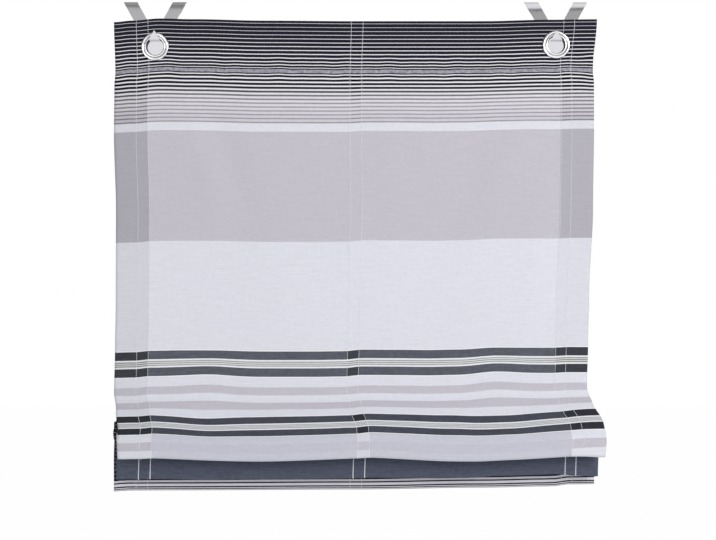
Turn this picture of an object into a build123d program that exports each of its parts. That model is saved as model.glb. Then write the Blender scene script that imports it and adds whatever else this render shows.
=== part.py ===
from build123d import *
import os
from math import cos, radians, sqrt

# Roman blind that hangs from a window sash on two sheet-metal hooks.
# A striped cloth is hemmed all round, stiffened and eyeleted along its top, weighted along its
# bottom, and drawn up into two folds by three ringed tapes sewn to its back.
# Millimetres. The origin is on the top front edge of the sash, midway between the hooks.
# X runs along the sash, Y goes back towards the window and Z goes up.

# Cloth
blind_width = 800.0          # finished width, edge to edge
cloth_ply = 0.6              # thickness of one ply
sew_gap = 0.15               # room that the thread leaves between sewn plies
side_hem_width = 56.0        # cloth turned in along each side
header_depth = 85.0          # top edge down to the header seam
header_turn = 1.7            # bend of the cloth over the top edge
gather_drop = 630.0          # top edge down to the line where the first fold is drawn up

# Folds, front and rear
front_fold_reach = 66.0      # how far the front fold stands out from the cloth above it
front_fold_drop = 94.0       # gathering line down to the edge of the front fold
rear_fold_reach = 37.0
rear_fold_drop = 128.0
swag_drop = 15.0             # sag of the gathering line between two tapes
kick_bend = 25.0             # bend where the cloth leaves the gathering line
belly_bend = 60.0            # slow bends along a fold
brow_bend = 26.0             # bend where the front fold turns down
fold_edge_bend = 4.0         # bend at the lower edge of a fold
crease = 0                   # no bend: a sharp crease, where the cloth is drawn up or sewn down

# Sag between a side hem and the middle tape: place from the hem on, then share of the swag drop
swag_shares = [(0.00, 0.00), (0.19, 0.75), (0.38, 1.00), (0.69, 0.75), (1.00, 0.00)]
# Corners of each fold: forward as a share of its reach, down as a share of its drop
front_fold_shares = [(0.00, 0.00), (0.53, 0.34), (0.97, 0.66), (1.00, 1.00), (0.85, 1.00),
                     (0.67, 0.74), (0.14, 0.20), (0.03, 0.20)]
rear_fold_shares = [(0.43, 0.41), (0.86, 0.77), (1.00, 1.00), (0.76, 1.00), (0.46, 0.63),
                    (0.11, 0.31), (-0.11, 0.31)]
# Sag of each corner at the lowest place, as a share of the swag drop
front_sag_shares = [1.0, 0.7, 0.4, 0.15, 0.15, 0.35, 0.8, 0.8]
rear_sag_shares = [0.6, 0.3, 0.1, 0.1, 0.35, 0.6, 0.6]
front_fold_bends = [kick_bend, belly_bend, brow_bend, fold_edge_bend, fold_edge_bend,
                    belly_bend, crease, crease]
rear_fold_bends = [belly_bend, belly_bend, fold_edge_bend, fold_edge_bend, belly_bend,
                   crease, crease]

# Tail below the folds, with the bottom hem
tail_drop = 150.0            # gathering line down to the bottom edge
tail_reach = 8.0             # how far the tail hangs in front of the cloth above the folds
tail_bend_drop = 92.0        # gathering line down to where the tail starts to hang straight
tail_bend = 60.0
hem_turn = 2.4               # bend of the cloth round the bottom edge
hem_close_rise = 9.0         # height over which the hem closes
hem_seam_allowance = 6.0     # cloth above the hem seam

# Weight bar in the bottom hem
bar_width = 20.0
bar_thickness = 3.0
bar_edge_round = 1.2
bar_end_gap = 12.0           # bar end to cloth edge
bar_seat_gap = 0.4           # bar to the bottom of its pocket
bar_head_room = 3.0          # bar to the start of the hem's close

# Stiffener in the header
stiffener_thickness = 0.8
stiffener_top_gap = 6.0      # below the top edge
stiffener_seam_gap = 5.0     # above the header seam
stiffener_end_gap = 8.0      # inside each cloth edge
stiffener_corner = 6.0

# Ringed tapes
tape_width = 21.0
tape_thickness = 0.5
tape_inset = 36.0            # cloth edge to the outer edge of a side tape
tape_top_gap = 6.0           # below the top edge
tape_hem_gap = 4.0           # above the bottom hem's close
centre_tape_offset = 3.0     # the middle tape is sewn this far right of the middle
ring_diameter = 13.0
ring_bore = 9.0
ring_thickness = 2.0
ring_sides = 12              # flats that stand for the round of a small ring
ring_gap = 0.3               # ring to tape
ring_pitch = 260.0           # between rings on the flat cloth
ring_rise = 12.0             # first ring above the gathering line
panel_ring_count = 2         # rings on each tape above the folds

# Eyelets
eyelet_inset = 65.0          # cloth edge to the middle of an eyelet
eyelet_margin = 43.0         # top edge to the middle of an eyelet
eyelet_bore = 28.0
eyelet_diameter = 46.0
eyelet_neck_wall = 1.0
eyelet_hole_gap = 0.3        # neck to the hole in the cloth
eyelet_groove_radius = 18.0  # groove between the collar round the bore and the outer bead
eyelet_groove_height = 2.0
eyelet_collar_height = 2.6   # where the collar meets the bore
eyelet_bead_height = 3.0
eyelet_bead_slope_share = 0.3  # each sloping side of the bead, of the bead's width
eyelet_rim_height = 1.8
eyelet_back_height = 2.2
eyelet_back_step = 1.0       # edge of the back ring inside the edge of the face
eyelet_back_rim = 1.0
eyelet_back_land = 3.0       # flat round the neck
eyelet_press_gap = 0.05      # neck to the back ring

# Sash hooks
sash_thickness = 18.0
hook_sheet = 1.0
hook_reach = 74.0            # sash top down to the middle of the eyelet
hook_boss_radius = 17.0      # rounded foot behind the eyelet
hook_arm_width = 20.0
hook_arm_angle = 29.0        # degrees from the vertical
hook_bend = 4.0              # inside bends over the sash
hook_lip = 16.0              # lip behind the sash
hook_lip_width = 14.0        # an arm narrows where it bends down into its lip
hook_gap = 0.3               # hook to the eyelet behind and in front
tongue_rise = 10.0           # middle of the eyelet up to the shelf that it hangs on
tongue_overlap = 3.0         # tip above the rim of the eyelet
tongue_seat_gap = 0.2        # shelf corners to the bore
tongue_root_bend = 0.6       # inside bend where the tongue leaves the plate
tongue_tip_bend = 0.8        # inside bend where it turns up
tongue_tip_round = 1.2
slot_gap = 0.5               # tongue to the slot that it was cut from
foot_overlap = 5.0           # length of the tongue's root that lies in the plate

overrun = 5.0                # how far a cutting shape runs past what it cuts

# Places that several pieces share
half_width = blind_width / 2
top_edge = eyelet_margin - hook_reach
header_seam = top_edge - header_depth
gather_line = top_edge - gather_drop
eyelet_rear = -hook_sheet - hook_gap
header_rear = eyelet_rear - eyelet_back_height
header_room = 2 * cloth_ply + tape_thickness + stiffener_thickness + 3 * sew_gap
header_rear_ply = header_rear - cloth_ply / 2
panel_y = header_rear_ply - cloth_ply - header_room
panel_front = panel_y - cloth_ply / 2
neck_radius = eyelet_bore / 2 + eyelet_neck_wall
hem_back = cloth_ply * 3 / 2
hem_inner_x = half_width - side_hem_width
side_tape_x = half_width - tape_inset - tape_width / 2
eyelet_x = half_width - eyelet_inset
eyelet_places = {"left": -eyelet_x, "right": eyelet_x}
tape_places = {"left": -side_tape_x, "centre": centre_tape_offset, "right": side_tape_x}


# Bands of sheet that follow a bent path

def ways_along(corners):
    """Unit directions of the runs between corners."""
    return [(end - start).normalized() for start, end in zip(corners, corners[1:])]


def moved_corners(corners, shift):
    """Corners of the path that runs at a distance to the left of a path."""
    lefts = [Vector(-way.Y, way.X) for way in ways_along(corners)]
    moved = [corners[0] + lefts[0] * shift]
    for corner, before, after in zip(corners[1:-1], lefts, lefts[1:]):
        moved.append(corner + (before + after) * (shift / (1 + before.dot(after))))
    moved.append(corners[-1] + lefts[-1] * shift)
    return moved


def side_line(corners, bends, shift):
    """Line at a distance to the left of a path; a bend keeps its centre, a crease stays sharp."""
    ways = ways_along(corners)
    radii = []
    for bend, before, after in zip(bends, ways, ways[1:]):
        turns_left = before.cross(after).Z > 0
        inner_shift = shift if turns_left else -shift
        radii.append(bend - inner_shift if bend else crease)
    return FilletPolyline(*moved_corners(corners, shift), radius=radii)


def band(corners, bends, near, far):
    """Section of a sheet that lies between two distances to the left of a path."""
    near_line = side_line(corners, bends, near)
    far_line = side_line(corners, bends, far)
    starts = Line(near_line @ 0, far_line @ 0)
    ends = Line(near_line @ 1, far_line @ 1)
    return make_face([*near_line.edges(), ends, *far_line.edges(), starts])


def across(section, start, length):
    """A section in the YZ plane, drawn out along X from start."""
    return extrude(Plane.YZ.offset(start) * section, amount=length)


# Path of the cloth, from inside the header, over the top, down the front and through the folds

def fold_corners(shares, sag_shares, reach, drop, sag):
    """Corners of one fold, in Y and Z."""
    return [Vector(panel_y - forward * reach, gather_line - down * drop - sag_share * sag)
            for (forward, down), sag_share in zip(shares, sag_shares)]


def folded_run(sag):
    """Corners of the cloth's path from the gathering line to the last ring."""
    front = fold_corners(front_fold_shares, front_sag_shares, front_fold_reach,
                         front_fold_drop, sag)
    rear = fold_corners(rear_fold_shares, rear_sag_shares, rear_fold_reach,
                        rear_fold_drop, sag)
    return front + rear


folded_bends = front_fold_bends + rear_fold_bends
tail_y = panel_y - tail_reach
tail_bottom = gather_line - tail_drop
tail_straight = gather_line - tail_bend_drop
hem_front_y = tail_y + hem_back
hem_rear_ply = hem_front_y + bar_thickness + 2 * sew_gap + hem_back
hem_fold = tail_bottom + cloth_ply / 2
bar_bottom = tail_bottom + 2 * cloth_ply + bar_seat_gap
hem_open_top = bar_bottom + bar_width + bar_head_room
hem_close_top = hem_open_top + hem_close_rise
hem_closed_y = hem_front_y + sew_gap + hem_back


def cloth_section(sag, plies):
    """Section of the cloth; the second ply of a side hem lies on its back."""
    header = [Vector(header_rear_ply, header_seam), Vector(header_rear_ply, top_edge - cloth_ply / 2),
              Vector(panel_y, top_edge - cloth_ply / 2)]
    tail = [Vector(tail_y, tail_straight), Vector(tail_y, hem_fold),
            Vector(hem_rear_ply, hem_fold), Vector(hem_rear_ply, hem_open_top),
            Vector(hem_closed_y, hem_close_top),
            Vector(hem_closed_y, hem_close_top + hem_seam_allowance)]
    corners = header + folded_run(sag) + tail
    bends = [header_turn, header_turn, *folded_bends, tail_bend, hem_turn, hem_turn,
             crease, crease]
    return band(corners, bends, -cloth_ply / 2, cloth_ply * (plies - 1 / 2))


def swag(side_x, middle_x):
    """Cloth that hangs slack between a side hem and the middle tape, in straight stretches."""
    span = middle_x - side_x
    sags = {side_x + span * place: swag_drop * share for place, share in swag_shares}
    return loft([Plane.YZ.offset(x) * cloth_section(sags[x], 1) for x in sorted(sags)], ruled=True)


def eyelet_hole(x):
    """Cutter for the hole that an eyelet's neck goes through."""
    hole = Cylinder(neck_radius + eyelet_hole_gap, 2 * (header_room + hook_sheet + overrun))
    return Pos(x, header_rear, -hook_reach) * Rot(90, 0, 0) * hole


def make_cloth():
    """The whole blind cloth: two double side hems, the middle tape's strip and two swags."""
    tape_left = centre_tape_offset - tape_width / 2
    tape_right = centre_tape_offset + tape_width / 2
    cloth = across(cloth_section(0, 2), -half_width, side_hem_width)
    cloth += swag(-hem_inner_x, tape_left)
    cloth += across(cloth_section(0, 1), tape_left, tape_width)
    cloth += swag(hem_inner_x, tape_right)
    cloth += across(cloth_section(0, 2), hem_inner_x, side_hem_width)
    for x in eyelet_places.values():
        cloth -= eyelet_hole(x)
    return cloth


# Pieces inside the hems

def make_stiffener():
    """Stiff strip between the plies of the header, punched for the eyelets."""
    top = top_edge - stiffener_top_gap
    bottom = header_seam + stiffener_seam_gap
    rear = header_rear - 2 * cloth_ply - sew_gap
    outline = RectangleRounded(blind_width - 2 * stiffener_end_gap, top - bottom, stiffener_corner)
    strip = extrude(outline, amount=stiffener_thickness)
    strip = Pos(0, rear, (top + bottom) / 2) * Rot(90, 0, 0) * strip
    for x in eyelet_places.values():
        strip -= eyelet_hole(x)
    return strip


def make_weight_bar():
    """Flat bar with rounded edges in the pocket of the bottom hem."""
    section = RectangleRounded(bar_thickness, bar_width, bar_edge_round)
    middle_y = hem_front_y + sew_gap + bar_thickness / 2
    section = Pos(middle_y, bar_bottom + bar_width / 2) * section
    return across(section, bar_end_gap - half_width, blind_width - 2 * bar_end_gap)


# Tapes and rings on the back

def tape_shift(name):
    """Distance from the middle of the cloth's front ply to the face of a tape."""
    return (cloth_ply / 2 if name == "centre" else hem_back) + sew_gap


def make_tape(name):
    """Tape that follows the back of the cloth from the header to the bottom hem."""
    corners = [Vector(panel_y, top_edge - tape_top_gap), *folded_run(0),
               Vector(tail_y, tail_straight),
               Vector(tail_y, hem_close_top + hem_seam_allowance + tape_hem_gap)]
    shift = tape_shift(name)
    section = band(corners, [*folded_bends, tail_bend], shift, shift + tape_thickness)
    tape = across(section, tape_places[name] - tape_width / 2, tape_width)
    for x in eyelet_places.values():
        tape -= eyelet_hole(x)
    return tape


def make_rings(name):
    """Rings sewn to one tape: a few up the flat cloth and one where each fold is drawn up."""
    back = tape_shift(name) + tape_thickness
    run = [*folded_run(0), Vector(tail_y, tail_straight)]
    seats = [Vector(panel_y + back, gather_line + ring_rise + ring_pitch * step)
             for step in range(panel_ring_count)]
    front_peak = len(front_fold_shares) - 1
    rear_peak = front_peak + len(rear_fold_shares)
    seats += [moved_corners(run, back)[peak] for peak in (front_peak, rear_peak)]
    outline = RegularPolygon(ring_diameter / 2, ring_sides) - RegularPolygon(ring_bore / 2, ring_sides)
    ring = extrude(outline, amount=ring_thickness / 2, both=True)
    behind = ring_gap + ring_diameter / 2
    return Compound(children=[Pos(tape_places[name], seat.X + behind, seat.Y) * ring for seat in seats])


# Eyelets

def make_eyelet_front(x):
    """Face of an eyelet: a collar round the bore, an outer bead, and the neck through the header."""
    bore = eyelet_bore / 2
    rim = eyelet_diameter / 2
    slope = (rim - eyelet_groove_radius) * eyelet_bead_slope_share
    crown = panel_front - eyelet_bead_height
    profile = make_face(Polyline(
        (bore, eyelet_rear), (bore, panel_front - eyelet_collar_height),
        (eyelet_groove_radius, panel_front - eyelet_groove_height),
        (eyelet_groove_radius + slope, crown), (rim - slope, crown),
        (rim, panel_front - eyelet_rim_height), (rim, panel_front), (neck_radius, panel_front),
        (neck_radius, eyelet_rear), close=True))
    return Pos(x, 0, -hook_reach) * revolve(profile, Axis.Y)


def make_eyelet_back(x):
    """Bevelled ring pressed onto the neck behind the header."""
    inner = neck_radius + eyelet_press_gap
    outer = eyelet_diameter / 2 - eyelet_back_step
    profile = make_face(Polyline(
        (inner, header_rear), (inner, eyelet_rear), (inner + eyelet_back_land, eyelet_rear),
        (outer, header_rear + eyelet_back_rim), (outer, header_rear), close=True))
    return Pos(x, 0, -hook_reach) * revolve(profile, Axis.Y)


# Sash hooks

tongue_half_width = sqrt((eyelet_bore / 2 - tongue_seat_gap) ** 2 - tongue_rise ** 2)
tongue_shelf = tongue_rise - hook_sheet / 2
tongue_tip = eyelet_diameter / 2 + tongue_overlap
tongue_y = panel_front - eyelet_bead_height - hook_gap - hook_sheet / 2
tongue_root = tongue_shelf - hook_sheet / 2 - tongue_root_bend
hook_half_span = (hook_reach + hook_arm_width) * sqrt(1 / cos(radians(hook_arm_angle)) ** 2 - 1)


def hook_outline(arm_width):
    """Front outline of a hook, about the middle of its eyelet: a foot and two arms in a V."""
    arm_length = (hook_reach + hook_arm_width + overrun) / cos(radians(hook_arm_angle))
    arm = Pos(0, arm_length / 2) * Rectangle(arm_width, arm_length)
    outline = Circle(hook_boss_radius)
    for side in (-1, 1):
        outline += Rot(0, 0, side * hook_arm_angle) * arm
    slot_width = 2 * (tongue_half_width + slot_gap)
    slot = Pos(0, tongue_root + arm_length / 2) * Rectangle(slot_width, arm_length)
    return outline - slot


def make_tongue():
    """Pointed tongue bent out through the eyelet and up in front of it, about the eyelet's middle."""
    plate_y = -hook_sheet / 2
    corners = [Vector(plate_y, tongue_root - foot_overlap), Vector(plate_y, tongue_shelf),
               Vector(tongue_y, tongue_shelf), Vector(tongue_y, tongue_tip)]
    bends = [tongue_root_bend + hook_sheet / 2, tongue_tip_bend + hook_sheet / 2]
    strip = across(band(corners, bends, -hook_sheet / 2, hook_sheet / 2),
                   -tongue_half_width, 2 * tongue_half_width)
    foot = tongue_root - foot_overlap
    point = Polyline((-tongue_half_width, foot), (tongue_half_width, foot),
                     (tongue_half_width, tongue_shelf), (0, tongue_tip),
                     (-tongue_half_width, tongue_shelf), close=True)
    shape = make_face(point)
    tip = shape.vertices().sort_by(Axis.Y)[-1]
    shape = fillet(tip, tongue_tip_round)
    return strip & extrude(Plane.XZ * shape, amount=-tongue_y + overrun, both=True)


def make_hook(x):
    """Hook bent from one sheet: foot, two arms over the sash with lips behind it, and tongue."""
    rear_y = sash_thickness + hook_sheet / 2
    corners = [Vector(-hook_sheet / 2, -hook_reach - hook_boss_radius - overrun),
               Vector(-hook_sheet / 2, hook_sheet / 2), Vector(rear_y, hook_sheet / 2),
               Vector(rear_y, -hook_lip)]
    bend = hook_bend + hook_sheet / 2
    channel = across(band(corners, [bend, bend], -hook_sheet / 2, hook_sheet / 2),
                     -hook_half_span, 2 * hook_half_span)
    lip_start = sash_thickness - hook_bend
    wide = extrude(Plane.XZ * hook_outline(hook_arm_width), amount=lip_start + overrun)
    narrow = extrude(Plane.XZ * hook_outline(hook_lip_width), amount=-hook_bend - overrun)
    blank = Pos(0, lip_start, -hook_reach) * (wide + narrow)
    hook = (channel & blank) + Pos(0, 0, -hook_reach) * make_tongue()
    return Pos(x, 0, 0) * hook


# All pieces by node name

nodes = {"blind_cloth": make_cloth(), "header_stiffener": make_stiffener(),
         "weight_bar": make_weight_bar()}
for name in tape_places:
    nodes[f"{name}_gathering_tape"] = make_tape(name)
    nodes[f"{name}_tape_rings"] = make_rings(name)
for side, x in eyelet_places.items():
    nodes[f"{side}_sash_hook"] = make_hook(x)
nodes["eyelet_fronts"] = Compound(children=[make_eyelet_front(x) for x in eyelet_places.values()])
nodes["eyelet_backs"] = Compound(children=[make_eyelet_back(x) for x in eyelet_places.values()])

os.makedirs("parts", exist_ok=True)
for node, piece in nodes.items():
    export_step(piece, f"parts/{node}.step")
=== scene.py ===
# %% [markdown]
# # A roman blind on two sash hooks
# The blind is one striped cloth. It is hemmed at the sides, doubled at the top for two eyelets and
# at the bottom for a weight bar, and drawn up into two folds by ringed tapes on its back. The packed
# CAD model gives the true size and place of every piece. This lesson dresses it: the cloth gets its
# drape, stripes and stitches, and the metal gets its shine. All sizes below are in millimetres.

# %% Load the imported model
import bmesh
import bpy
import numpy as np
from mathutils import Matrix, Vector


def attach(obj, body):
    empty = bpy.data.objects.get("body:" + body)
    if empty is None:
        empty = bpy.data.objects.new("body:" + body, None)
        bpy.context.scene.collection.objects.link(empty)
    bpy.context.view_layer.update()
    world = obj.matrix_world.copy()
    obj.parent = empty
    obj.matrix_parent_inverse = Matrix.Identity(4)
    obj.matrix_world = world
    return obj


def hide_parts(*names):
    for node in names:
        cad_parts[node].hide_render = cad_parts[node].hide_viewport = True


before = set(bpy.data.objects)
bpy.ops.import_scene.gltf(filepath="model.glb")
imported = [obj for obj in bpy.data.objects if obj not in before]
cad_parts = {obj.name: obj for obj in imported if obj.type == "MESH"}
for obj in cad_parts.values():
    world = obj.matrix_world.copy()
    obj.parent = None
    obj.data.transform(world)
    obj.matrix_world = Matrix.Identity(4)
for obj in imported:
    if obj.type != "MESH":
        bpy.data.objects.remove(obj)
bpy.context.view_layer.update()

MM = 0.001
scene = bpy.context.scene
scene.view_settings.view_transform = "Standard"
print("CAD nodes:", ", ".join(sorted(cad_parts)))

# %% [markdown]
# ## Camera
# The blind is seen straight from the front, from about two and a half metres, so its sides stay
# parallel and only the folds that stand forward look a little wider. The focal length follows from
# the frame: 716 pixels across show 1193 mm at the distance of the cloth.

# %% Camera
FRAME_PIXELS = 716
PIXEL = 1.667
FRAME_WIDTH = FRAME_PIXELS * PIXEL
PANEL_Y = -7.35
CAMERA_DISTANCE = 2400.0
CAMERA_X, CAMERA_Z = 4.2, -447.6
SENSOR = 36.0

camera_data = bpy.data.cameras.new("camera")
camera_data.sensor_fit = "HORIZONTAL"
camera_data.sensor_width = SENSOR
camera_data.lens = SENSOR * CAMERA_DISTANCE / FRAME_WIDTH
camera = bpy.data.objects.new("camera", camera_data)
camera.location = Vector((CAMERA_X, PANEL_Y - CAMERA_DISTANCE, CAMERA_Z)) * MM
camera.rotation_euler = (np.pi / 2, 0, 0)
scene.collection.objects.link(camera)
scene.camera = camera
print(f"camera lens {camera_data.lens:.1f} mm at {CAMERA_DISTANCE:.0f} mm")

# %% [markdown]
# ## Helpers for finishes and pieces
# Colours are written as the hex values that a designer would pick, and one function turns them into
# the linear numbers that Blender works in. Another adds a node with its settings and links, so that
# a material reads as a list of steps. The last ones put a piece into the scene and keep what its
# modifiers make of it as a plain mesh.

# %% Helpers for finishes and pieces
def linear(hex_colour, alpha=1.0):
    """Linear RGBA of an sRGB hex colour."""
    parts = [int(hex_colour[i:i + 2], 16) / 255 for i in (1, 3, 5)]
    return [c / 12.92 if c <= 0.04045 else ((c + 0.055) / 1.055) ** 2.4 for c in parts] + [alpha]


def add(tree, kind, inputs=None, **settings):
    """A node with its settings; an input is a value, or an output to link."""
    made = tree.nodes.new(kind)
    for name, value in settings.items():
        setattr(made, name, value)
    for key, value in (inputs or {}).items():
        if isinstance(value, bpy.types.NodeSocket):
            tree.links.new(value, made.inputs[key])
        else:
            made.inputs[key].default_value = value
    return made


def new_material(name, **principled):
    """A material with one Principled shader; returns the material, its tree and the shader."""
    material = bpy.data.materials.new(name)
    material.use_nodes = True
    tree = material.node_tree
    shader = tree.nodes["Principled BSDF"]
    for key, value in principled.items():
        shader.inputs[key.replace("_", " ")].default_value = value
    return material, tree, shader


def clouded_material(name, darker, lighter, size, detail, **principled):
    """A material whose colour clouds softly between two; the size of the clouds is in millimetres."""
    material, tree, shader = new_material(name, **principled)
    place = add(tree, "ShaderNodeTexCoord")
    cloud = add(tree, "ShaderNodeTexNoise", {"Vector": place.outputs["Object"], "Scale": 1 / (size * MM),
                                             "Detail": detail})
    colour = add(tree, "ShaderNodeMix", {0: cloud.outputs[0], 6: linear(darker), 7: linear(lighter)},
                 data_type="RGBA")
    tree.links.new(colour.outputs[2], shader.inputs["Base Color"])
    return material


def new_object(name, data):
    """An object in the scene with the given mesh or lamp."""
    made = bpy.data.objects.new(name, data)
    scene.collection.objects.link(made)
    return made


def new_piece(name, points, faces, material):
    """A mesh object from points in millimetres."""
    mesh = bpy.data.meshes.new(name)
    mesh.from_pydata((np.asarray(points) * MM).tolist(), [], faces)
    mesh.materials.append(material)
    mesh.polygons.foreach_set("use_smooth", [True] * len(mesh.polygons))
    return new_object(name, mesh)


def apply_modifiers(piece):
    """Keeps what the modifiers make of a piece as its plain mesh."""
    bpy.context.view_layer.update()
    made = bpy.data.meshes.new_from_object(piece.evaluated_get(bpy.context.evaluated_depsgraph_get()))
    piece.modifiers.clear()
    old = piece.data
    piece.data = made
    bpy.data.meshes.remove(old)


# %% [markdown]
# ## The run of the cloth
# Seen from the side, the cloth starts behind the header seam, climbs inside the header, turns over
# the top edge, hangs straight, and is drawn up twice before its tail ends in a hem round the weight
# bar. That run is a chain of straight stretches with round bends, so it is listed by its corners and
# one function rounds them. Each point also knows how far along the cloth it lies, which later places
# the stripes, and how much it sags between two tapes.

# %% Side view of the cloth
HALF_WIDTH = 400.0
PLY = 0.6
PLY_STEP = 0.75
TOP = -31.0
SEAM = -116.0
GATHER = -661.0
HEADER_REAR_Y = -3.8
TAIL_Y = -15.35
TAIL_BEND_Z = -753.0
BOTTOM = -811.0
HEM_REAR_Y = -10.25
HEM_OPEN_Z = -786.4
HEM_CLOSED_Y = -13.4
HEM_CLOSED_Z = -777.4
HEM_ALLOWANCE = 6.0
FRONT_REACH, FRONT_DROP = 66.0, 92.8
REAR_REACH, REAR_DROP = 37.0, 130.0
CREASE, TOP_BEND, HEM_BEND, TAIL_BEND = 1.0, 1.7, 2.4, 60
# Share of the shorter stretch beside it that a bend may take
BEND_ROOM = 0.499

# Forward and down as shares of the fold's reach and drop, then the bend
FRONT_FOLD = [(0.00, 0.00, 25), (0.53, 0.34, 60), (0.97, 0.66, 26), (1.00, 1.00, 4), (0.85, 1.00, 4),
              (0.67, 0.74, 60), (0.14, 0.20, CREASE), (0.03, 0.20, CREASE)]
REAR_FOLD = [(0.43, 0.41, 60), (0.86, 0.77, 60), (1.00, 1.00, 4), (0.76, 1.00, 4), (0.46, 0.63, 60),
             (0.11, 0.31, CREASE), (-0.11, 0.31, CREASE)]


def run_corners():
    """Corners of the cloth's run as (y, z, bend)."""
    edge = TOP - PLY / 2
    corners = [(HEADER_REAR_Y, SEAM, 0), (HEADER_REAR_Y, edge, TOP_BEND), (PANEL_Y, edge, TOP_BEND)]
    for folds, reach, drop in ((FRONT_FOLD, FRONT_REACH, FRONT_DROP),
                               (REAR_FOLD, REAR_REACH, REAR_DROP)):
        corners += [(PANEL_Y - forward * reach, GATHER - down * drop, bend)
                    for forward, down, bend in folds]
    edge = BOTTOM + PLY / 2
    corners += [(TAIL_Y, TAIL_BEND_Z, TAIL_BEND), (TAIL_Y, edge, HEM_BEND), (HEM_REAR_Y, edge, HEM_BEND),
                (HEM_REAR_Y, HEM_OPEN_Z, CREASE), (HEM_CLOSED_Y, HEM_CLOSED_Z, CREASE),
                (HEM_CLOSED_Y, HEM_CLOSED_Z + HEM_ALLOWANCE, 0)]
    return np.array(corners)


def rounded_run(corners, step, turn=np.radians(14)):
    """Points along the corners with every bend rounded, at most a step apart."""
    turns = [corners[0, :2]]
    for before, corner, after in zip(corners, corners[1:], corners[2:]):
        here = corner[:2]
        back, ahead = before[:2] - here, after[:2] - here
        room = min(np.linalg.norm(back), np.linalg.norm(ahead)) * BEND_ROOM
        back, ahead = back / np.linalg.norm(back), ahead / np.linalg.norm(ahead)
        angle = np.arccos(np.clip(back @ ahead, -1, 1))
        cut = min(corner[2] / np.tan(angle / 2), room)
        radius = cut * np.tan(angle / 2)
        middle = back + ahead
        centre = here + middle / np.linalg.norm(middle) * radius / np.sin(angle / 2)
        start, end = here + back * cut - centre, here + ahead * cut - centre
        count = max(2, int(np.ceil((np.pi - angle) / turn)))
        for share in np.linspace(0, 1, count + 1):
            # A point between the two ends of the arc, moved out to its radius
            weight = np.sin([(1 - share) * (np.pi - angle), share * (np.pi - angle)])
            turns.append(centre + (start * weight[0] + end * weight[1]) / np.sin(np.pi - angle))
    turns.append(corners[-1, :2])
    points = [turns[0]]
    for point in turns[1:]:
        last = points[-1]
        gap = np.linalg.norm(point - last)
        pieces = int(np.ceil(gap / step))
        points += [last + (point - last) * k / pieces for k in range(1, pieces + 1)]
    return np.array(points)


ROW_STEP = 7.5
FINE_ROWS_Z = -135.0

coarse = rounded_run(run_corners(), ROW_STEP)
run = [coarse[0]]
for last, point in zip(coarse, coarse[1:]):
    # Twice as many rows in the header, where the eyelets and the seam are
    if point[1] > FINE_ROWS_Z:
        run.append((last + point) / 2)
    run.append(point)
run = np.array(run)
run_length = np.concatenate([[0], np.cumsum(np.linalg.norm(np.diff(run, axis=0), axis=1))])
top_row = int(np.argmax(run[:, 1]))
along = run_length - run_length[top_row]
print(f"cloth run: {len(run)} rows, {run_length[-1]:.0f} mm long, {along[-1]:.0f} mm below the top edge")

# %% [markdown]
# ## The drape
# A sewn cloth never hangs as a drawing does. The top edge is highest at the eyelets and droops at the
# corner, the stripes rise towards the right, the folds sag between the tapes and slip sideways, and
# soft creases run down from the hooks. A cloth simulation could give such drape, but not this
# particular one, so each of these movements is a short formula with a few chosen values, and one
# function adds them up for any place on the cloth.

# %% Drape of the cloth
STITCH_PAIR = 19.3
TAPE_WIDTH = 21.0
SIDE_TAPE_X = 353.5
CENTRE_TAPE_X = 3.0
TAPES = {"left": -SIDE_TAPE_X, "centre": CENTRE_TAPE_X, "right": SIDE_TAPE_X}

# Height of the top edge across the blind, from the left edge to the right
TOP_LINE = [(-400, -3.2), (-370, -0.5), (-325, 3.2), (-270, 1.8), (-150, -0.6), (0, -1.6), (220, -1.6),
            (320, 1.0), (400, 1.9)]
# Height of the bottom edge across the blind
BOTTOM_LINE = [(-400, -5.0), (-386, -3.8), (-374, -3.3), (-300, -3.0), (0, -1.5), (217, 1.6), (317, 3.5),
               (330, 3.9), (360, 7.0), (400, 7.4)]
# Height of the slate fold's edge across the blind
SLATE_LINE = [(-400, 0.0), (-326, -0.5), (-259, -1.0), (-192, 1.0), (-126, 1.2), (0, 0.6), (124, 1.8),
              (191, 2.7), (224, 4.2), (291, 4.5), (330, 5.2), (345, 4.2), (358, 2.2), (391, 0.8), (400, 0.6)]
# Middle and half width of the cloth down its run
SIDE_LINES = [(0, 0.0, 402.4), (86, -2.3, 397.8), (105, -2.2, 399.6), (185, -2.5, 400.0),
              (318, -1.6, 397.5), (467, -5.0, 394.5), (550, -6.6, 394.2), (620, -8.3, 394.0),
              (655, -2.0, 394.0), (700, 8.9, 396.4), (725, 10.2, 397.2), (750, 10.0, 395.5),
              (800, 4.0, 396.0), (850, -1.0, 393.5), (890, -3.0, 398.0), (925, 3.6, 396.4),
              (965, 2.6, 395.4), (1070, -3.0, 398.5), (1190, -2.4, 398.8), (1230, -2.4, 398.8)]
# Height of a row across the blind, which steps up at each sewn tape, and the share that a row follows
LIFT_LINE = [(-400, -1.8), (-368, -1.2), (-338, 1.1), (-290, 1.7), (-235, 1.5), (-150, 0.0), (-60, 0.0),
             (-12, 0.5), (18, 3.0), (75, 2.7), (128, 2.2), (178, 3.0), (245, 6.0), (338, 6.0), (368, 7.2),
             (400, 7.1)]
LIFT_SHARES = [(60, 0.0), (180, 0.55), (368, 0.9), (550, 1.05), (640, 1.1), (690, 1.1), (750, 0.55),
               (970, 0.5), (1090, 0.0)]
# Share of the top line's shape that a row still follows
TOP_SHARES = [(-90, 1.0), (90, 0.9), (170, 0.45), (368, 0.1), (550, 0.0)]
BOTTOM_SHARES = [(1070, 0.0), (1140, 0.9), (1165, 1.0)]
SLATE_SHARES = [(890, 0.0), (935, 1.0), (1000, 1.0), (1040, 0.0)]
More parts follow.
